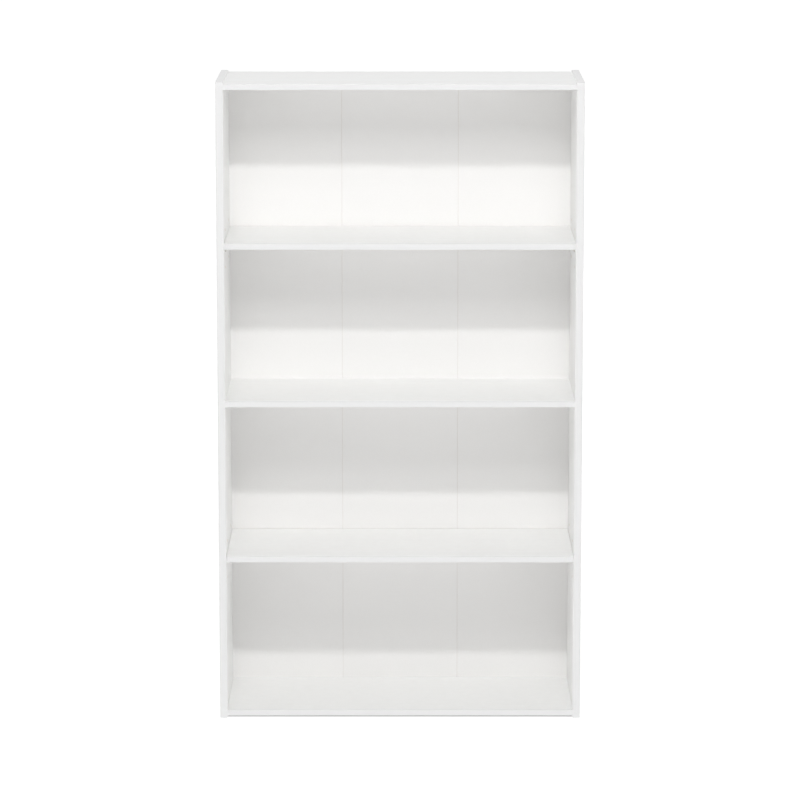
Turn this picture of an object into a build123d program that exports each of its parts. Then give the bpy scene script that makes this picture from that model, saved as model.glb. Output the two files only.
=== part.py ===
"""Flat-pack bookcase: two side panels, three fixed boards, two adjustable shelves on
pull-out pins, and a nailed back folded from three leaves.

X is the width, Y the depth with the open front towards -Y, Z up from the floor. The
origin is on the floor, in the middle of the overall width and depth.
"""

import os

from build123d import *

# ---------------------------------------------------------------- driving sizes (mm)
WIDTH = 622.0  # over the outer faces of the side panels
HEIGHT = 1100.0
DEPTH = 232.0  # side panels and fixed boards, edge band included
SIDE_T = 13.0
BOARD_T = 10.0
BACK_T = 3.0
FLOOR_GAP = 4.0  # floor to the underside of the bottom panel
TOP_DROP = 3.0  # the top panel lies this far below the side panels' top edges
BAYS = 4

BAND_T = 0.5  # edge band
BAND_EASE = 0.3  # rounding of the band's long edges

SHELF_END_CLEARANCE = 0.3  # adjustable shelf to side panel, each end
SHELF_FRONT_RECESS = 1.0
SHELF_REAR_CLEARANCE = 1.0

PIN_D = 5.0
PIN_CLEARANCE = 0.05  # radial, pin shank in its hole
PIN_SHANK_L = 8.0
PIN_HOLE_SPARE = 0.8  # hole deeper than the shank
PIN_SETBACK = 52.0  # hole column to the front or rear edge of the side panel
PIN_PITCH = 32.0
PIN_STEPS = (-1, 0, 1)  # hole rows below, at and above each shelf as built
PIN_DROP = 4.5  # top of the ledge to the shank's axis
PIN_W = 10.0
PIN_LEDGE_L = 10.0
PIN_LEDGE_T = 2.0
PIN_PLATE_T = 1.6
PIN_PLATE_LOW = 5.5  # shank's axis to the plate's lower edge
PIN_CORNER_R = 2.0
PIN_EDGE_R = 0.4
PIN_RIB_T = 2.0
PIN_RIB_MARGIN = 1.5  # rib stops this short of the ledge's tip and the plate's end
PIN_TIP_CHAMFER = 0.6

DOWEL_D = 6.0
DOWEL_IN_SIDE = 8.0
DOWEL_IN_BOARD = 20.0
DOWEL_END_GAP = 0.5  # glue room past each end of a dowel
DOWEL_CHAMFER = 0.8
DOWEL_SETBACK = 24.0  # dowel axis to the front or rear edge

SCREW_D = 4.0
SCREW_L = 40.0
SCREW_TIP_L = 4.0
SCREW_HEAD_D = 8.0
SCREW_HEAD_RIM = 0.2
SCREW_SINK = 0.3  # head's face below the side panel's outer face
SCREW_CLEARANCE = 0.1  # radial, shank in the side panel
SCREW_SETBACK = 56.0  # screw axis to the front or rear edge
RECESS_W = 1.0  # cross recess
RECESS_SPAN = 4.4
RECESS_DEPTH = 1.8

CAP_D = 12.0
CAP_T = 0.6
CAP_EASE = 0.3

LEAVES = 3
BACK_LAP = 6.8  # how far the back covers each side panel's rear edge
BACK_INSET = 1.0  # back's ends inside the top and bottom panels' outer faces
FOLD_CHAMFER = 0.5  # each leaf's front edge at a fold
TAPE_W = 30.0
TAPE_T = 0.2

NAIL_D = 1.4
NAIL_L = 18.0
NAIL_HEAD_D = 3.6
NAIL_HEAD_T = 0.8
NAIL_HEAD_CHAMFER = 0.25
NAIL_TIP_CHAMFER = 0.45
NAILS_PER_SIDE = 8
NAIL_END_MARGIN = 30.0
NAIL_OFFSET = 60.0  # either side of each leaf's middle, along the fixed boards

# ---------------------------------------------------------------- worked-out sizes
INNER_W = WIDTH - 2 * SIDE_T
INNER_X = INNER_W / 2
FRONT = -(DEPTH + BACK_T + NAIL_HEAD_T) / 2
REAR = FRONT + DEPTH  # rear of the boards, front of the back
BACK_REAR = REAR + BACK_T
CORE_FRONT = FRONT + BAND_T

CLEAR_BAY = (HEIGHT - TOP_DROP - FLOOR_GAP - (BAYS + 1) * BOARD_T) / BAYS


def underside(level):
    """Height of a board's underside: level 0 is the bottom panel, BAYS the top panel."""
    return FLOOR_GAP + level * (CLEAR_BAY + BOARD_T)


BOTTOM, LOWER, MIDDLE, UPPER, TOP = range(BAYS + 1)
FIXED_LEVELS = {"bottom_panel": BOTTOM, "middle_shelf": MIDDLE, "top_panel": TOP}
LOOSE_LEVELS = {"lower_shelf": LOWER, "upper_shelf": UPPER}

SCREW_R = SCREW_D / 2
SCREW_HEAD_R = SCREW_HEAD_D / 2
SINK_R = SCREW_HEAD_R + SCREW_HEAD_RIM + SCREW_SINK  # countersink at the outer face
LEAF_W = (INNER_W + 2 * BACK_LAP) / LEAVES
BACK_BOTTOM = underside(BOTTOM) + BACK_INSET
BACK_TOP = underside(TOP) + BOARD_T - BACK_INSET

SCREW_YS = (FRONT + SCREW_SETBACK, REAR - SCREW_SETBACK)
DOWEL_YS = (FRONT + DOWEL_SETBACK, REAR - DOWEL_SETBACK)
PIN_YS = {"front": FRONT + PIN_SETBACK, "rear": REAR - PIN_SETBACK}


def board_middle(level):
    return underside(level) + BOARD_T / 2


def pin_height(level):
    return underside(level) - PIN_DROP


FASTENER_ZS = [board_middle(level) for level in FIXED_LEVELS.values()]
SCREW_POINTS = [(y, z) for y in SCREW_YS for z in FASTENER_ZS]
DOWEL_POINTS = [(y, z) for y in DOWEL_YS for z in FASTENER_ZS]
PIN_HOLE_POINTS = [
    (y, pin_height(level) + step * PIN_PITCH)
    for y in PIN_YS.values()
    for level in LOOSE_LEVELS.values()
    for step in PIN_STEPS
]


def leaf_middle(leaf):
    """X of a back leaf's middle, leaf 0 at the left."""
    return (leaf - (LEAVES - 1) / 2) * LEAF_W


def nail_points():
    """(x, z) of every nail, up both side panels and along the fixed boards."""
    low = BACK_BOTTOM + NAIL_END_MARGIN
    pitch = (BACK_TOP - NAIL_END_MARGIN - low) / (NAILS_PER_SIDE - 1)
    side_x = INNER_X + BACK_LAP / 2
    points = [(x, low + i * pitch) for x in (-side_x, side_x) for i in range(NAILS_PER_SIDE)]
    for leaf in range(LEAVES):
        for offset in (-NAIL_OFFSET, NAIL_OFFSET):
            points += [(leaf_middle(leaf) + offset, z) for z in FASTENER_ZS]
    return points


NAIL_POINTS = nail_points()


def write(part, name):
    part.label = name
    export_step(part, f"parts/{name}.step")


os.makedirs("parts", exist_ok=True)

# ---------------------------------------------------------------- side panels
with BuildPart() as left_side_panel:
    with BuildSketch(Plane.YZ.offset(-WIDTH / 2)):
        with Locations(((CORE_FRONT + REAR) / 2, (HEIGHT - BAND_T) / 2)):
            Rectangle(REAR - CORE_FRONT, HEIGHT - BAND_T)
    extrude(amount=SIDE_T)
    # pin holes, blind from the inner face
    with BuildSketch(Plane.YZ.offset(-INNER_X)):
        with Locations(*PIN_HOLE_POINTS):
            Circle(PIN_D / 2 + PIN_CLEARANCE)
    extrude(amount=-(PIN_SHANK_L + PIN_HOLE_SPARE), mode=Mode.SUBTRACT)
    # dowel holes, blind from the inner face
    with BuildSketch(Plane.YZ.offset(-INNER_X)):
        with Locations(*DOWEL_POINTS):
            Circle(DOWEL_D / 2)
    extrude(amount=-(DOWEL_IN_SIDE + DOWEL_END_GAP), mode=Mode.SUBTRACT)
    # screw holes, through, countersunk on the outer face
    for y, z in SCREW_POINTS:
        with Locations(Plane(origin=(-WIDTH / 2, y, z), z_dir=(-1, 0, 0))):
            CounterSinkHole(SCREW_R + SCREW_CLEARANCE, SINK_R, SIDE_T, 90)
    # nail holes into the rear edge
    with BuildSketch(Plane.XZ.offset(-REAR)):
        with Locations(*[point for point in NAIL_POINTS if point[0] < -INNER_X]):
            Circle(NAIL_D / 2)
    extrude(amount=NAIL_L - BACK_T, mode=Mode.SUBTRACT)
write(left_side_panel.part, "left_side_panel")

with BuildPart() as right_side_panel:
    mirror(left_side_panel.part, about=Plane.YZ)
write(right_side_panel.part, "right_side_panel")


# ---------------------------------------------------------------- edge bands
def front_band(middle_x, width, bottom, height, front, long_axis):
    """Band glued to a front edge; only its long edges are rounded."""
    with BuildPart() as band:
        with BuildSketch(Plane.XZ.offset(-(front + BAND_T))):
            with Locations((middle_x, bottom + height / 2)):
                Rectangle(width, height)
        extrude(amount=BAND_T)
        fillet(band.faces().sort_by(Axis.Y)[0].edges().filter_by(long_axis), BAND_EASE)
    return band.part


def side_top_band(middle_x):
    """Band over a side panel's top edge, behind the front band."""
    with BuildPart() as band:
        with BuildSketch(Plane.XY.offset(HEIGHT - BAND_T)):
            with Locations((middle_x, (CORE_FRONT + REAR) / 2)):
                Rectangle(SIDE_T, REAR - CORE_FRONT)
        extrude(amount=BAND_T)
        fillet(band.faces().sort_by(Axis.Z)[-1].edges().filter_by(Axis.Y), BAND_EASE)
    return band.part


for side, direction in (("left", -1), ("right", 1)):
    side_middle = direction * (INNER_X + SIDE_T / 2)
    write(
        front_band(side_middle, SIDE_T, 0, HEIGHT, FRONT, Axis.Z), f"{side}_side_front_band"
    )
    write(side_top_band(side_middle), f"{side}_side_top_band")

# ---------------------------------------------------------------- fixed boards
for name, level in FIXED_LEVELS.items():
    board_z = board_middle(level)
    with BuildPart() as board:
        with BuildSketch(Plane.XY.offset(underside(level))):
            with Locations((0, (CORE_FRONT + REAR) / 2)):
                Rectangle(INNER_W, REAR - CORE_FRONT)
        extrude(amount=BOARD_T)
        for direction in (-1, 1):
            end = Plane.YZ.offset(direction * INNER_X)
            with BuildSketch(end):
                with Locations(*[(y, board_z) for y in DOWEL_YS]):
                    Circle(DOWEL_D / 2)
            extrude(amount=-direction * (DOWEL_IN_BOARD + DOWEL_END_GAP), mode=Mode.SUBTRACT)
            with BuildSketch(end):
                with Locations(*[(y, board_z) for y in SCREW_YS]):
                    Circle(SCREW_R)
            extrude(amount=-direction * (SCREW_SINK + SCREW_L - SIDE_T), mode=Mode.SUBTRACT)
        with BuildSketch(Plane.XZ.offset(-REAR)):
            with Locations(*[p for p in NAIL_POINTS if abs(p[0]) < INNER_X and p[1] == board_z]):
                Circle(NAIL_D / 2)
        extrude(amount=NAIL_L - BACK_T, mode=Mode.SUBTRACT)
    write(board.part, name)
    write(
        front_band(0, INNER_W, underside(level), BOARD_T, FRONT, Axis.X), f"{name}_band"
    )

# ---------------------------------------------------------------- adjustable shelves
SHELF_FRONT = FRONT + SHELF_FRONT_RECESS
SHELF_REAR = REAR - SHELF_REAR_CLEARANCE
SHELF_W = INNER_W - 2 * SHELF_END_CLEARANCE

for name, level in LOOSE_LEVELS.items():
    with BuildPart() as shelf:
        with BuildSketch(Plane.XY.offset(underside(level))):
            with Locations((0, (SHELF_FRONT + BAND_T + SHELF_REAR) / 2)):
                Rectangle(SHELF_W, SHELF_REAR - SHELF_FRONT - BAND_T)
        extrude(amount=BOARD_T)
    write(shelf.part, name)
    write(
        front_band(0, SHELF_W, underside(level), BOARD_T, SHELF_FRONT, Axis.X),
        f"{name}_band",
    )

# ---------------------------------------------------------------- shelf pins
# A left-hand pin with its shank's axis along X and its plate's back face at X = 0.
RIB_TIP_X = PIN_LEDGE_L - PIN_RIB_MARGIN
RIB_FOOT_Z = PIN_RIB_MARGIN - PIN_PLATE_LOW
LEDGE_UNDERSIDE = PIN_DROP - PIN_LEDGE_T

with BuildPart() as left_pin:
    with BuildSketch(Plane.XZ):
        with BuildLine():
            Polyline(
                (0, PIN_DROP),
                (PIN_LEDGE_L, PIN_DROP),
                (PIN_LEDGE_L, LEDGE_UNDERSIDE),
                (PIN_PLATE_T, LEDGE_UNDERSIDE),
                (PIN_PLATE_T, -PIN_PLATE_LOW),
                (0, -PIN_PLATE_LOW),
                close=True,
            )
        make_face()
    extrude(amount=PIN_W / 2, both=True)
    fillet(left_pin.edges().filter_by(Axis.Z).group_by(Axis.X)[-1], PIN_CORNER_R)
    fillet(left_pin.edges().filter_by(Axis.X).group_by(Axis.Z)[0], PIN_CORNER_R)
    fillet(left_pin.faces().sort_by(Axis.Z)[-1].edges().sort_by(Axis.X)[1:], PIN_EDGE_R)
    with BuildSketch(Plane.XZ):
        with BuildLine():
            Polyline(
                (PIN_PLATE_T / 2, LEDGE_UNDERSIDE + PIN_LEDGE_T / 2),
                (RIB_TIP_X, LEDGE_UNDERSIDE + PIN_LEDGE_T / 2),
                (RIB_TIP_X, LEDGE_UNDERSIDE),
                (PIN_PLATE_T, RIB_FOOT_Z),
                (PIN_PLATE_T / 2, RIB_FOOT_Z),
                close=True,
            )
        make_face()
    extrude(amount=PIN_RIB_T / 2, both=True)
    with BuildSketch(Plane.YZ):
        Circle(PIN_D / 2)
    extrude(amount=-PIN_SHANK_L)
    chamfer(left_pin.faces().sort_by(Axis.X)[0].edges(), PIN_TIP_CHAMFER)

with BuildPart() as right_pin:
    mirror(left_pin.part, about=Plane.YZ)

for shelf_name, level in LOOSE_LEVELS.items():
    for place, y in PIN_YS.items():
        for side, x, pattern in (("left", -INNER_X, left_pin), ("right", INNER_X, right_pin)):
            with BuildPart() as pin:
                with Locations((x, y, pin_height(level))):
                    add(pattern.part)
            write(pin.part, f"{shelf_name}_pin_{place}_{side}")

# ---------------------------------------------------------------- dowels and screws
with BuildPart() as left_screw:
    with BuildSketch(Plane.XY):
        with BuildLine():
            Polyline(
                (0, 0),
                (0, SCREW_HEAD_R),
                (SCREW_HEAD_RIM, SCREW_HEAD_R),
                (SCREW_HEAD_RIM + SCREW_HEAD_R - SCREW_R, SCREW_R),
                (SCREW_L - SCREW_TIP_L, SCREW_R),
                (SCREW_L, 0),
                close=True,
            )
        make_face()
    revolve(axis=Axis.X)
    with BuildSketch(Plane.YZ):
        Rectangle(RECESS_SPAN, RECESS_W)
        Rectangle(RECESS_W, RECESS_SPAN)
    extrude(amount=RECESS_DEPTH, mode=Mode.SUBTRACT)

with BuildPart() as right_screw:
    mirror(left_screw.part, about=Plane.YZ)

for name, level in FIXED_LEVELS.items():
    board_z = board_middle(level)
    with BuildPart() as dowels:
        for direction in (-1, 1):
            with BuildSketch(Plane.YZ.offset(direction * (INNER_X + DOWEL_IN_SIDE))):
                with Locations(*[(y, board_z) for y in DOWEL_YS]):
                    Circle(DOWEL_D / 2)
            extrude(amount=-direction * (DOWEL_IN_SIDE + DOWEL_IN_BOARD))
        chamfer(dowels.edges().filter_by(GeomType.CIRCLE), DOWEL_CHAMFER)
    write(dowels.part, f"{name}_dowels")

    with BuildPart() as screws:
        for x, pattern in (
            (-WIDTH / 2 + SCREW_SINK, left_screw),
            (WIDTH / 2 - SCREW_SINK, right_screw),
        ):
            with Locations(*[(x, y, board_z) for y in SCREW_YS]):
                add(pattern.part)
    write(screws.part, f"{name}_screws")

# ---------------------------------------------------------------- screw caps
for side, direction in (("left", -1), ("right", 1)):
    with BuildPart() as caps:
        with BuildSketch(Plane.YZ.offset(direction * WIDTH / 2)):
            with Locations(*SCREW_POINTS):
                Circle(CAP_D / 2)
        extrude(amount=direction * CAP_T)
        rims = caps.edges().filter_by(GeomType.CIRCLE)
        fillet([rim for rim in rims if abs(rim.center().X) > WIDTH / 2 + CAP_T / 2], CAP_EASE)
    write(caps.part, f"{side}_screw_caps")

# ---------------------------------------------------------------- folding back
for leaf, name in enumerate(("back_leaf_left", "back_leaf_centre", "back_leaf_right")):
    middle = leaf_middle(leaf)
    with BuildPart() as back_leaf:
        with BuildSketch(Plane.XZ.offset(-BACK_REAR)):
            with Locations((middle, (BACK_BOTTOM + BACK_TOP) / 2)):
                Rectangle(LEAF_W, BACK_TOP - BACK_BOTTOM)
        extrude(amount=BACK_T)
        front_edges = back_leaf.edges().filter_by(Axis.Z).group_by(Axis.Y)[0]
        chamfer([edge for edge in front_edges if abs(edge.center().X) < LEAF_W], FOLD_CHAMFER)
        with BuildSketch(Plane.XZ.offset(-BACK_REAR)):
            with Locations(*[p for p in NAIL_POINTS if abs(p[0] - middle) < LEAF_W / 2]):
                Circle(NAIL_D / 2)
        extrude(amount=BACK_T, mode=Mode.SUBTRACT)
    write(back_leaf.part, name)

for side, direction in (("left", -1), ("right", 1)):
    with BuildPart() as tape:
        with BuildSketch(Plane.XZ.offset(-(BACK_REAR + TAPE_T))):
            with Locations((direction * LEAF_W / 2, (BACK_BOTTOM + BACK_TOP) / 2)):
                Rectangle(TAPE_W, BACK_TOP - BACK_BOTTOM)
        extrude(amount=TAPE_T)
    write(tape.part, f"{side}_fold_tape")

with BuildPart() as back_nails:
    with BuildSketch(Plane.XZ.offset(-(BACK_REAR + NAIL_HEAD_T))):
        with Locations(*NAIL_POINTS):
            Circle(NAIL_HEAD_D / 2)
    extrude(amount=NAIL_HEAD_T)
    chamfer(back_nails.edges().group_by(Axis.Y)[-1], NAIL_HEAD_CHAMFER)
    with BuildSketch(Plane.XZ.offset(-BACK_REAR)):
        with Locations(*NAIL_POINTS):
            Circle(NAIL_D / 2)
    extrude(amount=NAIL_L)
    chamfer(back_nails.edges().group_by(Axis.Y)[0], NAIL_TIP_CHAMFER)
write(back_nails.part, "back_nails")
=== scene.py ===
"""A white flat-pack bookcase with adjustable shelves: its finishes, its moulded and taped
pieces and a small studio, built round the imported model. Everything is in metres.
"""

import math
import random

import bmesh
import bpy
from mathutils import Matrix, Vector


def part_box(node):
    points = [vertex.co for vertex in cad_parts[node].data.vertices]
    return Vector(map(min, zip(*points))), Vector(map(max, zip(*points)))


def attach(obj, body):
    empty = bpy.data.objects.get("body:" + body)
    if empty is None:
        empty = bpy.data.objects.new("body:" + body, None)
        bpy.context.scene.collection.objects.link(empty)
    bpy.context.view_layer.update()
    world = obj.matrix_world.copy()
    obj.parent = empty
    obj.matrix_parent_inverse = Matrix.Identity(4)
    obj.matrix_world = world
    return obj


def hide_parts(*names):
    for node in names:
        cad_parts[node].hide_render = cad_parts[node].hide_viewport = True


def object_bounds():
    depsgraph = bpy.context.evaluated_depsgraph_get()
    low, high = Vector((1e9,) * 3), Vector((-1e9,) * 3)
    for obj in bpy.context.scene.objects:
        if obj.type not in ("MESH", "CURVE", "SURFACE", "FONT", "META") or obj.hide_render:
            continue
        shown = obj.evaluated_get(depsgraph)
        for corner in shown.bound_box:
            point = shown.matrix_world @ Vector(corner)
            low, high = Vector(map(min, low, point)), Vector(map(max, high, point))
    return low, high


bl_info = {
    "name": "Flat-pack bookcase",
    "version": (1, 0, 0),
    "blender": (4, 5, 0),
    "location": "3D View > Sidebar > Bookcase",
    "description": "Finishes and a studio for a white bookcase with adjustable shelves",
    "category": "Object",
}

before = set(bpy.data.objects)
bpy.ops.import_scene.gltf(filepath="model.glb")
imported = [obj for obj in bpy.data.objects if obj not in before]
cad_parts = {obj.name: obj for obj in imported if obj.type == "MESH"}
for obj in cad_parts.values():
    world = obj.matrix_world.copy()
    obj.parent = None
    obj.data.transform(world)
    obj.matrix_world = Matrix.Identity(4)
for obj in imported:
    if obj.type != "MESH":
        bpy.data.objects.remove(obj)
CAD_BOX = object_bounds()

MM = 0.001

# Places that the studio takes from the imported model, and the sizes of the new pieces' detail.
CASE_LOW, CASE_HIGH = CAD_BOX
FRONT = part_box("left_side_front_band")[0].y
CHIP_MIDDLE = "C9A877"
TAPE_COCKLE = 0.25 * MM
TAPE_ROWS, TAPE_COLUMNS = 180, 7
CAP_STEPS = 48
MERGE = 0.001 * MM
FLOOR_RADIUS, FLOOR_SEGMENTS = 80.0, 64


# ---------------------------------------------------------------- colours and nodes
def linear(hex_colour):
    """An sRGB hex colour as linear red, green, blue and alpha."""
    channels = [int(hex_colour[i : i + 2], 16) / 255 for i in (0, 2, 4)]
    return [c / 12.92 if c <= 0.04045 else ((c + 0.055) / 1.055) ** 2.4 for c in channels] + [1.0]


def per_mm(size):
    """The texture scale whose cells or waves measure this many millimetres."""
    return 1 / (size * MM)


def new_material(name):
    material = bpy.data.materials.new(name)
    material.use_nodes = True
    material.node_tree.nodes.clear()
    return material


def add(owner, kind, inputs=None, ramp=None, **settings):
    """Adds a node to a material, a light or the world: settings are its properties, inputs are
    numbers, colours or other nodes' outputs by socket identifier, and ramp is a colour
    ramp's (place, colour) stops. Returns the node's outputs by identifier."""
    tree = owner.node_tree
    node = tree.nodes.new(kind)
    for name, value in settings.items():
        setattr(node, name, value)
    if ramp:
        stops = node.color_ramp.elements
        while len(stops) < len(ramp):
            stops.new(1.0)
        for stop, (place, colour) in zip(stops, ramp):
            stop.position = place
            stop.color = colour
    sockets = {socket.identifier: socket for socket in node.inputs}
    for identifier, value in (inputs or {}).items():
        if isinstance(value, bpy.types.NodeSocket):
            tree.links.new(value, sockets[identifier])
        else:
            sockets[identifier].default_value = value
    return {socket.identifier: socket for socket in node.outputs}


def finish_surface(material, **inputs):
    """Ends a material in one Principled shader with these inputs."""
    shader = add(material, "ShaderNodeBsdfPrincipled", inputs)
    add(material, "ShaderNodeOutputMaterial", {"Surface": shader["BSDF"]})
    return material


def grey(level):
    return (level, level, level, 1.0)


def shaded(colour, share):
    """A linear colour darkened to this share of itself."""
    return [channel * share for channel in colour[:3]] + [1.0]


# ---------------------------------------------------------------- what a user may change
class BookcaseFinishes(bpy.types.PropertyGroup):
    """Colours of the bookcase's own materials, as sRGB hex values."""

    melamine: bpy.props.StringProperty(
        name="Melamine", description="White face of the particleboard", default="F8F8F7"
    )
    # The edge band's grey and the top edging's lighter white stand in for light: painted shade on
    # the front-facing bands and painted light on the up-facing top edges.
    edge_band: bpy.props.StringProperty(
        name="Edge band", description="PVC band on the front and top edges", default="E0E0E0"
    )
    top_edging: bpy.props.StringProperty(
        name="Top edging", description="Sides' top edges, painted lighter", default="EAEAEA"
    )
    back_lacquer: bpy.props.StringProperty(
        name="Back lacquer", description="White front of the hardboard", default="F6F5F4"
    )
    chip_light: bpy.props.StringProperty(
        name="Light chips", description="Palest wood chips on a cut edge", default="D9BF93"
    )
    chip_dark: bpy.props.StringProperty(
        name="Dark chips", description="Darkest wood chips on a cut edge", default="8C6A42"
    )
    hardboard: bpy.props.StringProperty(
        name="Hardboard", description="Bare rear of the back", default="8F6B47"
    )
    kraft: bpy.props.StringProperty(
        name="Kraft tape", description="Gummed paper over the folds", default="B98F5E"
    )


class BookcaseStudio(bpy.types.PropertyGroup):
    """The camera, lights and floor."""

    camera_distance: bpy.props.FloatProperty(
        name="Camera distance",
        description="From the front edges to the camera",
        default=6.5,
        unit="LENGTH",
    )
    camera_height: bpy.props.FloatProperty(
        name="Camera height", description="Above the floor", default=1.716, unit="LENGTH"
    )
    camera_pitch: bpy.props.FloatProperty(
        name="Camera pitch",
        description="How far the camera looks down",
        default=math.radians(10.1),
        subtype="ANGLE",
    )
    lens: bpy.props.FloatProperty(
        name="Lens", description="Focal length for a 36 mm wide sensor, in mm", default=174.4
    )
    key_distance: bpy.props.FloatProperty(
        name="Key distance",
        description="From the front edges to the key light",
        default=3.05,
        unit="LENGTH",
    )
    key_height: bpy.props.FloatProperty(
        name="Key height", description="Above the floor", default=3.12, unit="LENGTH"
    )
    key_width: bpy.props.FloatProperty(
        name="Key width", description="Width of the key light", default=0.5, unit="LENGTH"
    )
    key_depth: bpy.props.FloatProperty(
        name="Key depth", description="Height of the key light", default=0.13, unit="LENGTH"
    )
    key_power: bpy.props.FloatProperty(
        name="Key power", description="Power of the key light", default=2.2, unit="POWER"
    )
    bank_distance: bpy.props.FloatProperty(
        name="Bank distance",
        description="From the front edges to the soft bank",
        default=2.38,
        unit="LENGTH",
    )
    bank_height: bpy.props.FloatProperty(
        name="Bank height", description="Above the floor", default=2.52, unit="LENGTH"
    )
    bank_width: bpy.props.FloatProperty(
        name="Bank width", description="Width of the soft bank", default=2.0, unit="LENGTH"
    )
    bank_depth: bpy.props.FloatProperty(
        name="Bank depth", description="Height of the soft bank", default=1.05, unit="LENGTH"
    )
    bank_power: bpy.props.FloatProperty(
        name="Bank power", description="Power of the soft bank", default=30.0, unit="POWER"
    )
    front_sky: bpy.props.FloatProperty(
        name="Front", description="Brightness of the surround above the camera", default=0.55
    )
    side_sky: bpy.props.FloatProperty(
        name="Sides", description="Brightness of the surround to the sides", default=1.15
    )
    overhead: bpy.props.FloatProperty(
        name="Overhead", description="Brightness of the surround high up", default=0.85
    )
    floor_glow: bpy.props.FloatProperty(
        name="Floor glow", description="Light that the lit floor sheet gives out", default=0.82
    )
    floor_white: bpy.props.FloatProperty(
        name="Floor white", description="Light that the floor sheet returns", default=0.36
    )


# ---------------------------------------------------------------- finishes
def melamine_faced_particleboard(name, across):
    """Particleboard pressed between white melamine papers: satin white faces with a fine
    pearl grain, and chips of pale and dark wood wherever an edge was sawn."""
    colours = bpy.context.scene.bookcase_finishes
    material = new_material(name)
    place = add(material, "ShaderNodeTexCoord")
    facing = add(
        material,
        "ShaderNodeVectorMath",
        {"Vector": place["Normal"], "Vector_001": across},
        operation="DOT_PRODUCT",
    )
    facing = add(material, "ShaderNodeMath", {"Value": facing["Value"]}, operation="ABSOLUTE")
    face = add(
        material,
        "ShaderNodeMath",
        {"Value": facing["Value"], "Value_001": 0.5},
        operation="GREATER_THAN",
    )["Value"]
    # The pressed paper's pearl grain, about half a millimetre across.
    pearl = add(
        material,
        "ShaderNodeTexNoise",
        {"Vector": place["Object"], "Scale": per_mm(0.6), "Detail": 3.0},
    )["Fac"]
    # Chips under the paper telegraph through it as a faint mottle.
    mottle = add(
        material,
        "ShaderNodeTexNoise",
        {"Vector": place["Object"], "Scale": per_mm(14.0), "Detail": 4.0},
    )["Fac"]
    white = linear(colours.melamine)
    shade = shaded(white, 0.975)
    paper = add(
        material, "ShaderNodeValToRGB", {"Fac": mottle}, ramp=[(0.3, shade), (0.7, white)]
    )["Color"]
    # Sawn chips: coarse flakes with finer dust between them.
    chips = add(
        material,
        "ShaderNodeTexVoronoi",
        {"Vector": place["Object"], "Scale": per_mm(2.4), "Detail": 2.0},
        feature="F1",
    )
    chip_tone = add(material, "ShaderNodeSeparateColor", {"Color": chips["Color"]})["Red"]
    sawn = add(
        material,
        "ShaderNodeValToRGB",
        {"Fac": chip_tone},
        ramp=[
            (0.0, linear(colours.chip_dark)),
            (0.35, linear(colours.chip_light)),
            (1.0, linear(CHIP_MIDDLE)),
        ],
    )["Color"]
    colour = add(
        material,
        "ShaderNodeMix",
        {"Factor_Float": face, "A_Color": sawn, "B_Color": paper},
        data_type="RGBA",
    )["Result_Color"]
    roughness = add(
        material,
        "ShaderNodeMapRange",
        {"Value": face, "To Min": 0.85, "To Max": 0.42},
    )["Result"]
    grain = add(
        material,
        "ShaderNodeBump",
        {"Height": pearl, "Strength": 0.12, "Distance": 0.05 * MM},
    )["Normal"]
    relief = add(
        material,
        "ShaderNodeBump",
        {"Height": chips["Distance"], "Strength": 0.6, "Distance": 0.4 * MM},
    )["Normal"]
    normal = add(
        material,
        "ShaderNodeMix",
        {"Factor_Float": face, "A_Vector": relief, "B_Vector": grain},
        data_type="VECTOR",
    )["Result_Vector"]
    return finish_surface(
        material, **{"Base Color": colour, "Roughness": roughness, "Normal": normal, "IOR": 1.5}
    )


def edging(name, hex_colour):
    """Edging ironed on to a sawn edge, embossed to match the board: smooth satin white."""
    material = new_material(name)
    place = add(material, "ShaderNodeTexCoord")["Object"]
    emboss = add(
        material, "ShaderNodeTexNoise", {"Vector": place, "Scale": per_mm(0.8), "Detail": 2.0}
    )["Fac"]
    # The white passed in carries painted shade on the front bands and painted light on the sides'
    # top edges.
    white = linear(hex_colour)
    shade = shaded(white, 0.985)
    colour = add(
        material, "ShaderNodeValToRGB", {"Fac": emboss}, ramp=[(0.3, shade), (0.7, white)]
    )["Color"]
    normal = add(
        material, "ShaderNodeBump", {"Height": emboss, "Strength": 0.1, "Distance": 0.04 * MM}
    )["Normal"]
    return finish_surface(
        material, **{"Base Color": colour, "Roughness": 0.38, "Normal": normal, "IOR": 1.53}
    )


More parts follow.
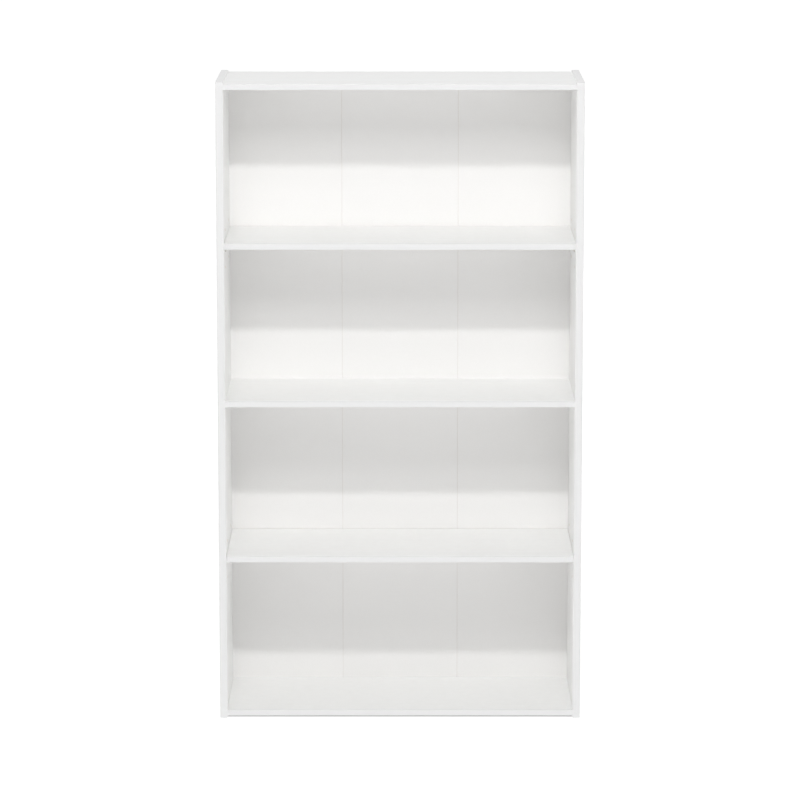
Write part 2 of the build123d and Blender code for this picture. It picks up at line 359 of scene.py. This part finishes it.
def lacquered_hardboard():
    """Wet-pressed hardboard lacquered white on its front; the rear is bare, brown and
    printed with the mesh of the press's wire screen."""
    colours = bpy.context.scene.bookcase_finishes
    material = new_material("lacquered hardboard")
    place = add(material, "ShaderNodeTexCoord")
    across = add(material, "ShaderNodeSeparateXYZ", {"Vector": place["Normal"]})["Y"]
    front = add(
        material, "ShaderNodeMath", {"Value": across, "Value_001": -0.5}, operation="LESS_THAN"
    )["Value"]
    # The roller leaves a faint orange peel about 3 mm across.
    peel = add(
        material,
        "ShaderNodeTexNoise",
        {"Vector": place["Object"], "Scale": per_mm(3.0), "Detail": 2.0},
    )["Fac"]
    white = linear(colours.back_lacquer)
    shade = shaded(white, 0.985)
    lacquer = add(
        material, "ShaderNodeValToRGB", {"Fac": peel}, ramp=[(0.3, shade), (0.7, white)]
    )["Color"]
    # The folds' bevels are tinted 14% of the way to the bare brown: painted shade in the fold
    # creases.
    groove = add(
        material,
        "ShaderNodeMapRange",
        {"Value": across, "From Min": -0.95, "From Max": -0.85, "To Max": 0.14},
    )["Result"]
    lacquer = add(
        material,
        "ShaderNodeMix",
        {"Factor_Float": groove, "A_Color": lacquer, "B_Color": linear(colours.hardboard)},
        data_type="RGBA",
    )["Result_Color"]
    # Pressed wood fibres, darker in clumps, and the screen's mesh at 1.6 mm.
    fibre = add(
        material,
        "ShaderNodeTexNoise",
        {"Vector": place["Object"], "Scale": per_mm(5.0), "Detail": 8.0, "Roughness": 0.7},
    )["Fac"]
    brown = linear(colours.hardboard)
    dark = shaded(brown, 0.6)
    bare = add(
        material, "ShaderNodeValToRGB", {"Fac": fibre}, ramp=[(0.3, dark), (0.65, brown)]
    )["Color"]
    mesh = add(
        material,
        "ShaderNodeTexVoronoi",
        {"Vector": place["Object"], "Scale": per_mm(1.6), "Randomness": 0.0},
        distance="CHEBYCHEV",
    )["Distance"]
    colour = add(
        material,
        "ShaderNodeMix",
        {"Factor_Float": front, "A_Color": bare, "B_Color": lacquer},
        data_type="RGBA",
    )["Result_Color"]
    roughness = add(
        material, "ShaderNodeMapRange", {"Value": front, "To Min": 0.8, "To Max": 0.35}
    )["Result"]
    smooth = add(
        material, "ShaderNodeBump", {"Height": peel, "Strength": 0.15, "Distance": 0.05 * MM}
    )["Normal"]
    pressed = add(
        material, "ShaderNodeBump", {"Height": mesh, "Strength": 0.7, "Distance": 0.3 * MM}
    )["Normal"]
    normal = add(
        material,
        "ShaderNodeMix",
        {"Factor_Float": front, "A_Vector": pressed, "B_Vector": smooth},
        data_type="VECTOR",
    )["Result_Vector"]
    return finish_surface(
        material, **{"Base Color": colour, "Roughness": roughness, "Normal": normal, "IOR": 1.5}
    )


def gummed_kraft_paper():
    """Gummed kraft tape: matt brown paper, its long fibres showing as fine streaks."""
    colours = bpy.context.scene.bookcase_finishes
    material = new_material("gummed kraft paper")
    place = add(material, "ShaderNodeTexCoord")["Object"]
    along = add(
        material, "ShaderNodeMapping", {"Vector": place, "Scale": (1.0, 1.0, 0.12)}
    )["Vector"]
    fibre = add(
        material,
        "ShaderNodeTexNoise",
        {"Vector": along, "Scale": per_mm(1.2), "Detail": 6.0, "Roughness": 0.65},
    )["Fac"]
    paper = linear(colours.kraft)
    dark = shaded(paper, 0.72)
    colour = add(
        material, "ShaderNodeValToRGB", {"Fac": fibre}, ramp=[(0.3, dark), (0.7, paper)]
    )["Color"]
    normal = add(
        material, "ShaderNodeBump", {"Height": fibre, "Strength": 0.3, "Distance": 0.1 * MM}
    )["Normal"]
    return finish_surface(
        material, **{"Base Color": colour, "Roughness": 0.75, "Normal": normal}
    )


def turned_beech():
    """Beech dowel rod: pinkish straw wood with short dark flecks along its grain."""
    material = new_material("turned beech")
    place = add(material, "ShaderNodeTexCoord")["Object"]
    along = add(
        material, "ShaderNodeMapping", {"Vector": place, "Scale": (0.08, 1.0, 1.0)}
    )["Vector"]
    grain = add(
        material,
        "ShaderNodeTexNoise",
        {"Vector": along, "Scale": per_mm(0.9), "Detail": 5.0, "Roughness": 0.6},
    )["Fac"]
    colour = add(
        material,
        "ShaderNodeValToRGB",
        {"Fac": grain},
        ramp=[(0.3, linear("9A6B43")), (0.45, linear("CFA77A")), (1.0, linear("DDBB90"))],
    )["Color"]
    normal = add(
        material, "ShaderNodeBump", {"Height": grain, "Strength": 0.3, "Distance": 0.1 * MM}
    )["Normal"]
    return finish_surface(
        material, **{"Base Color": colour, "Roughness": 0.6, "Normal": normal}
    )


def plated_metal(name, colour, roughness, grain_mm, relief):
    """Steel or zinc with a thin plating: its grey varies a little, and its roughness more,
    over the marks of tumbling and handling."""
    material = new_material(name)
    place = add(material, "ShaderNodeTexCoord")["Object"]
    marks = add(
        material,
        "ShaderNodeTexNoise",
        {"Vector": place, "Scale": per_mm(grain_mm), "Detail": 4.0, "Roughness": 0.6},
    )["Fac"]
    bright = linear(colour)
    dull = shaded(bright, 0.82)
    tone = add(
        material, "ShaderNodeValToRGB", {"Fac": marks}, ramp=[(0.3, dull), (0.7, bright)]
    )["Color"]
    polish = add(
        material,
        "ShaderNodeMapRange",
        {"Value": marks, "To Min": roughness + 0.12, "To Max": roughness - 0.06},
    )["Result"]
    normal = add(
        material, "ShaderNodeBump", {"Height": marks, "Strength": 0.2, "Distance": relief * MM}
    )["Normal"]
    return finish_surface(
        material,
        **{"Base Color": tone, "Metallic": 1.0, "Roughness": polish, "Normal": normal},
    )


def moulded_polyethylene():
    """Moulded polyethylene caps: soft white with the mould's fine spark-eroded grain."""
    material = new_material("moulded polyethylene")
    place = add(material, "ShaderNodeTexCoord")["Object"]
    grain = add(
        material, "ShaderNodeTexNoise", {"Vector": place, "Scale": per_mm(0.4), "Detail": 2.0}
    )["Fac"]
    colour = add(
        material,
        "ShaderNodeValToRGB",
        {"Fac": grain},
        ramp=[(0.3, linear("ECEBE8")), (0.7, linear("F1F0EE"))],
    )["Color"]
    normal = add(
        material, "ShaderNodeBump", {"Height": grain, "Strength": 0.15, "Distance": 0.05 * MM}
    )["Normal"]
    return finish_surface(
        material, **{"Base Color": colour, "Roughness": 0.45, "Normal": normal, "IOR": 1.51}
    )


def give(material, *names):
    """Puts a material on CAD nodes."""
    for name in names:
        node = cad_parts[name]
        node.data.materials.clear()
        node.data.materials.append(material)


def keep(mesh, name, material, body, slot, *replaced):
    """Makes a finished bmesh into a piece that rides on a body in place of CAD nodes."""
    data = bpy.data.meshes.new(name)
    mesh.to_mesh(data)
    mesh.free()
    piece = bpy.data.objects.new(name, data)
    bpy.context.scene.collection.objects.link(piece)
    data.materials.append(material)
    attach(piece, body)
    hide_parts(*replaced)
    return piece


# ---------------------------------------------------------------- operators
class BOOKCASE_OT_side_panels(bpy.types.Operator):
    """Finish the side panels: white faces, sawn rear and lower edges"""

    bl_idname = "bookcase.side_panels"
    bl_label = "Side panels"

    def execute(self, context):
        board = melamine_faced_particleboard("melamine board upright", (1.0, 0.0, 0.0))
        give(board, "left_side_panel", "right_side_panel")
        return {"FINISHED"}


class BOOKCASE_OT_boards(bpy.types.Operator):
    """Finish the fixed boards and the adjustable shelves"""

    bl_idname = "bookcase.boards"
    bl_label = "Boards and shelves"

    def execute(self, context):
        board = melamine_faced_particleboard("melamine board flat", (0.0, 0.0, 1.0))
        give(board, "top_panel", "upper_shelf", "middle_shelf", "lower_shelf", "bottom_panel")
        return {"FINISHED"}


class BOOKCASE_OT_edge_bands(bpy.types.Operator):
    """Finish the edge bands"""

    bl_idname = "bookcase.edge_bands"
    bl_label = "Edge bands"

    def execute(self, context):
        bands = [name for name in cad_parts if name.endswith("_band")]
        top = [name for name in bands if name.endswith("_top_band")]
        colours = context.scene.bookcase_finishes
        # The front bands get a greyer white and the sides' top edges a lighter one: painted shade
        # and painted light for the way each faces the lamps.
        give(edging("PVC edge band", colours.edge_band), *[n for n in bands if n not in top])
        give(edging("melamine paper edging", colours.top_edging), *top)
        return {"FINISHED"}


class BOOKCASE_OT_back(bpy.types.Operator):
    """Finish the back's three leaves"""

    bl_idname = "bookcase.back"
    bl_label = "Back"

    def execute(self, context):
        leaves = [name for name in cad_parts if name.startswith("back_leaf")]
        give(lacquered_hardboard(), *leaves)
        return {"FINISHED"}


class BOOKCASE_OT_fold_tapes(bpy.types.Operator):
    """Make the paper tapes over the back's folds, slightly cockled by their glue"""

    bl_idname = "bookcase.fold_tapes"
    bl_label = "Fold tapes"

    def execute(self, context):
        paper = gummed_kraft_paper()
        for side in ("left", "right"):
            node = f"{side}_fold_tape"
            low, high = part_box(node)
            keep(cockled_tape(low, high, side), f"{side}_tape", paper, "case", "fold_tape", node)
        return {"FINISHED"}


class BOOKCASE_OT_screw_caps(bpy.types.Operator):
    """Make the moulded caps over the screw heads"""

    bl_idname = "bookcase.screw_caps"
    bl_label = "Screw caps"

    def execute(self, context):
        plastic = moulded_polyethylene()
        for side in ("left", "right"):
            node = f"{side}_screw_caps"
            caps = moulded_caps(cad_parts[node])
            keep(caps, f"{side}_caps", plastic, "case", "cover_cap", node)
        return {"FINISHED"}


class BOOKCASE_OT_fasteners(bpy.types.Operator):
    """Finish the dowels, screws, nails and shelf pins"""

    bl_idname = "bookcase.fasteners"
    bl_label = "Dowels, screws, nails and pins"

    def execute(self, context):
        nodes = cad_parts
        give(turned_beech(), *[name for name in nodes if name.endswith("_dowels")])
        zinc = plated_metal("zinc-plated steel", "B9BBBD", 0.32, 1.5, 0.03)
        give(zinc, *[name for name in nodes if name.endswith("_screws")])
        give(plated_metal("bright steel wire", "9C9B99", 0.38, 0.8, 0.03), "back_nails")
        nickel = plated_metal("nickel-plated zinc", "D6D3CD", 0.28, 2.5, 0.04)
        give(nickel, *[name for name in nodes if "_pin_" in name])
        return {"FINISHED"}


class BOOKCASE_OT_studio(bpy.types.Operator):
    """Make the camera, the lights and the pale floor"""

    bl_idname = "bookcase.studio"
    bl_label = "Studio"

    def execute(self, context):
        studio = context.scene.bookcase_studio
        data = bpy.data.cameras.new("camera")
        data.sensor_width = 36.0
        data.lens = studio.lens
        data.clip_end = 200.0
        camera = bpy.data.objects.new("camera", data)
        camera.location = (0.0, FRONT - studio.camera_distance, studio.camera_height)
        camera.rotation_euler = (math.radians(90) - studio.camera_pitch, 0.0, 0.0)
        context.scene.collection.objects.link(camera)
        context.scene.camera = camera

        middle = (CASE_LOW + CASE_HIGH) / 2
        for name in ("key", "bank"):
            distance, height, width, depth, power = (
                getattr(studio, f"{name}_{size}")
                for size in ("distance", "height", "width", "depth", "power")
            )
            light = bpy.data.lights.new(name, "AREA")
            light.shape = "RECTANGLE"
            light.size, light.size_y, light.energy = width, depth, power
            lamp = bpy.data.objects.new(name, light)
            lamp.location = (0.0, FRONT - distance, height)
            lamp.rotation_euler = (middle - lamp.location).to_track_quat("-Z", "Y").to_euler()
            context.scene.collection.objects.link(lamp)
            if name == "key":
                # The narrow key lights near and far alike, as a larger, farther lamp would.
                light.use_nodes = True
                light.node_tree.nodes.clear()
                even = add(light, "ShaderNodeLightFalloff", {"Strength": 1.0})["Constant"]
                glow = add(light, "ShaderNodeEmission", {"Strength": even})["Emission"]
                add(light, "ShaderNodeOutputLight", {"Surface": glow})

        context.scene.world = white_surround(
            studio.front_sky, studio.side_sky, studio.overhead
        )

        mesh = bmesh.new()
        bmesh.ops.create_circle(mesh, cap_ends=True, segments=FLOOR_SEGMENTS, radius=FLOOR_RADIUS)
        sheet = bpy.data.meshes.new("floor")
        mesh.to_mesh(sheet)
        mesh.free()
        floor = bpy.data.objects.new("floor", sheet)
        context.scene.collection.objects.link(floor)
        sheet.materials.append(lit_floor(studio.floor_white, studio.floor_glow))
        context.scene.view_settings.view_transform = "Standard"
        return {"FINISHED"}


def white_surround(front, sides, top):
    """A studio's surround: white at the horizon, and above it one run of brightness with
    height in front of the bookcase and another at its sides and behind it."""
    world = bpy.data.worlds.new("white surround")
    world.use_nodes = True
    world.node_tree.nodes.clear()
    look = add(world, "ShaderNodeTexCoord")["Generated"]
    look = add(world, "ShaderNodeSeparateXYZ", {"Vector": look})
    dark = 0.05
    front_sky, side_sky = (
        add(
            world,
            "ShaderNodeValToRGB",
            {"Fac": look["Z"]},
            ramp=[(height, grey(level)) for height, level in stops],
        )["Color"]
        for stops in (
            [(0.06, 1.0), (0.08, dark), (0.26, dark), (0.34, front), (0.52, front), (0.66, dark)],
            [(0.06, 1.0), (0.08, sides), (0.38, sides), (0.43, top), (0.83, top), (0.9, 0.1)],
        )
    )
    frontness = add(
        world, "ShaderNodeMapRange", {"Value": look["Y"], "From Min": -0.4, "From Max": -0.5}
    )["Result"]
    white = add(
        world,
        "ShaderNodeMix",
        {"Factor_Float": frontness, "A_Color": side_sky, "B_Color": front_sky},
        data_type="RGBA",
    )["Result_Color"]
    lit = add(world, "ShaderNodeBackground", {"Color": grey(1.0), "Strength": white})
    add(world, "ShaderNodeOutputWorld", {"Surface": lit["Background"]})
    return world


def lit_floor(white, glow):
    """Matt white acrylic lit from below; its glow is cut out under the bookcase's footprint, a
    painted shadow under the bookcase.
    """
    material = new_material("lit acrylic floor")
    middle, half = (CASE_LOW + CASE_HIGH) / 2, (CASE_HIGH - CASE_LOW) / 2
    place = add(material, "ShaderNodeTexCoord")["Object"]
    away = add(
        material,
        "ShaderNodeVectorMath",
        {"Vector": place, "Vector_001": middle},
        operation="SUBTRACT",
    )["Vector"]
    away = add(material, "ShaderNodeVectorMath", {"Vector": away}, operation="ABSOLUTE")["Vector"]
    away = add(
        material, "ShaderNodeVectorMath", {"Vector": away, "Vector_001": half}, operation="SUBTRACT"
    )["Vector"]
    sides = add(material, "ShaderNodeSeparateXYZ", {"Vector": away})
    outside = add(
        material,
        "ShaderNodeMath",
        {"Value": sides["X"], "Value_001": sides["Y"]},
        operation="MAXIMUM",
    )["Value"]
    # The glow fades out from 5 mm to 16 mm inside the footprint: painted shadow under the bookcase,
    # seen through the gap below the bottom panel.
    glow_with_painted_shadow = add(
        material,
        "ShaderNodeMapRange",
        {"Value": outside, "From Min": -16.0 * MM, "From Max": -5.0 * MM, "To Max": glow},
    )["Result"]
    depth = add(material, "ShaderNodeSeparateXYZ", {"Vector": place})["Y"]
    fade = add(
        material,
        "ShaderNodeMapRange",
        {"Value": depth, "From Min": -6.0, "From Max": -1.8, "To Min": 0.52},
        interpolation_type="SMOOTHSTEP",
    )["Result"]
    glow_with_painted_shadow = add(
        material, "ShaderNodeMath", {"Value": glow_with_painted_shadow, "Value_001": fade}, operation="MULTIPLY"
    )["Value"]
    return finish_surface(
        material,
        **{
            "Base Color": grey(white),
            "Roughness": 0.9,
            "Specular IOR Level": 0.2,
            "Emission Color": grey(1.0),
            "Emission Strength": glow_with_painted_shadow,
        },
    )


def cockled_tape(low, high, side):
    """A strip of tape, its rear face rippled by its glue and flat along its edges."""
    mesh = bmesh.new()
    bmesh.ops.create_cube(mesh, size=1.0)
    size = high - low
    bmesh.ops.scale(mesh, vec=size, verts=mesh.verts)
    bmesh.ops.translate(mesh, vec=(low + high) / 2, verts=mesh.verts)
    long_edges = [e for e in mesh.edges if abs((e.verts[0].co - e.verts[1].co).z) > size.z / 2]
    bmesh.ops.subdivide_edges(mesh, edges=long_edges, cuts=TAPE_ROWS, use_grid_fill=True)
    cross_edges = [e for e in mesh.edges if abs((e.verts[0].co - e.verts[1].co).x) > size.x / 2]
    bmesh.ops.subdivide_edges(mesh, edges=cross_edges, cuts=TAPE_COLUMNS, use_grid_fill=True)
    draw = random.Random(side)
    waves = [(draw.uniform(55.0, 160.0), draw.uniform(0.0, math.tau)) for _ in range(4)]
    lean = draw.uniform(0.3, 0.6)
    for vertex in mesh.verts:
        if vertex.co.y > (low.y + high.y) / 2:
            place = vertex.co.z + lean * vertex.co.x
            swell = sum(math.sin(place * math.tau / (span * MM) + turn) for span, turn in waves)
            edge = 1 - abs(2 * (vertex.co.x - low.x) / size.x - 1)
            vertex.co.y += TAPE_COCKLE * (0.5 + swell / 8) * min(1.0, 4 * edge)
    bmesh.ops.recalc_face_normals(mesh, faces=mesh.faces)
    for face in mesh.faces:
        face.smooth = True
    return mesh


def moulded_caps(node):
    """A domed cap where each plain cap of the CAD node stands."""
    source = bmesh.new()
    source.from_mesh(node.data)
    bmesh.ops.remove_doubles(source, verts=source.verts, dist=MERGE)
    mesh = bmesh.new()
    seen = set()
    for start in source.verts:
        if start in seen:
            continue
        island, stack = [], [start]
        seen.add(start)
        while stack:
            vertex = stack.pop()
            island.append(vertex.co.copy())
            for edge in vertex.link_edges:
                other = edge.other_vert(vertex)
                if other not in seen:
                    seen.add(other)
                    stack.append(other)
        low = Vector([min(p[i] for p in island) for i in range(3)])
        high = Vector([max(p[i] for p in island) for i in range(3)])
        add_cap(mesh, low, high)
    source.free()
    return mesh


def add_cap(mesh, low, high):
    """One cap: a rim rounded to the board, a shallow groove and a low dome."""
    middle = (low + high) / 2
    outward = 1 if middle.x > 0 else -1
    base_x = low.x if outward > 0 else high.x
    radius, rise = (high.y - low.y) / 2, high.x - low.x
    profile = [
        (radius, 0.0),
        (radius, 0.35 * rise),
        (radius - 0.12 * MM, 0.7 * rise),
        (radius - 0.4 * MM, 0.9 * rise),
        (radius - 0.9 * MM, 0.9 * rise),
        (radius - 1.15 * MM, 0.7 * rise),
        (radius - 1.4 * MM, 0.75 * rise),
        (radius * 0.6, 0.92 * rise),
        (radius * 0.3, 0.99 * rise),
        (0.0, rise),
    ]
    points = [
        mesh.verts.new((base_x + outward * x, middle.y, middle.z + r)) for r, x in profile
    ]
    edges = [mesh.edges.new(pair) for pair in zip(points, points[1:])]
    bmesh.ops.spin(
        mesh,
        geom=points + edges,
        cent=(base_x, middle.y, middle.z),
        axis=(1, 0, 0),
        angle=math.tau,
        steps=CAP_STEPS,
        use_merge=True,
    )
    bmesh.ops.remove_doubles(mesh, verts=mesh.verts, dist=MERGE)
    rim = [edge for edge in mesh.edges if edge.is_boundary]
    bmesh.ops.holes_fill(mesh, edges=rim, sides=0)
    bmesh.ops.recalc_face_normals(mesh, faces=mesh.faces)
    for face in mesh.faces:
        face.smooth = len(face.verts) <= 4


# ---------------------------------------------------------------- panel and registration
OPERATORS = (
    BOOKCASE_OT_studio,
    BOOKCASE_OT_side_panels,
    BOOKCASE_OT_boards,
    BOOKCASE_OT_edge_bands,
    BOOKCASE_OT_back,
    BOOKCASE_OT_fold_tapes,
    BOOKCASE_OT_screw_caps,
    BOOKCASE_OT_fasteners,
)


class BOOKCASE_PT_sidebar(bpy.types.Panel):
    """Lists the bookcase's pieces and their settings"""

    bl_idname = "BOOKCASE_PT_sidebar"
    bl_label = "Bookcase"
    bl_space_type = "VIEW_3D"
    bl_region_type = "UI"
    bl_category = "Bookcase"

    def draw(self, context):
        for settings in (context.scene.bookcase_finishes, context.scene.bookcase_studio):
            for name in settings.__annotations__:
                self.layout.prop(settings, name)
        for operator in OPERATORS:
            self.layout.operator(operator.bl_idname)


CLASSES = (BookcaseFinishes, BookcaseStudio, *OPERATORS, BOOKCASE_PT_sidebar)


def register():
    for cls in CLASSES:
        bpy.utils.register_class(cls)
    bpy.types.Scene.bookcase_finishes = bpy.props.PointerProperty(type=BookcaseFinishes)
    bpy.types.Scene.bookcase_studio = bpy.props.PointerProperty(type=BookcaseStudio)


def unregister():
    del bpy.types.Scene.bookcase_studio
    del bpy.types.Scene.bookcase_finishes
    for cls in reversed(CLASSES):
        bpy.utils.unregister_class(cls)


def main():
    register()
    for operator in OPERATORS:
        group, name = operator.bl_idname.split(".")
        getattr(getattr(bpy.ops, group), name)()


if __name__ == "__main__":
    main()
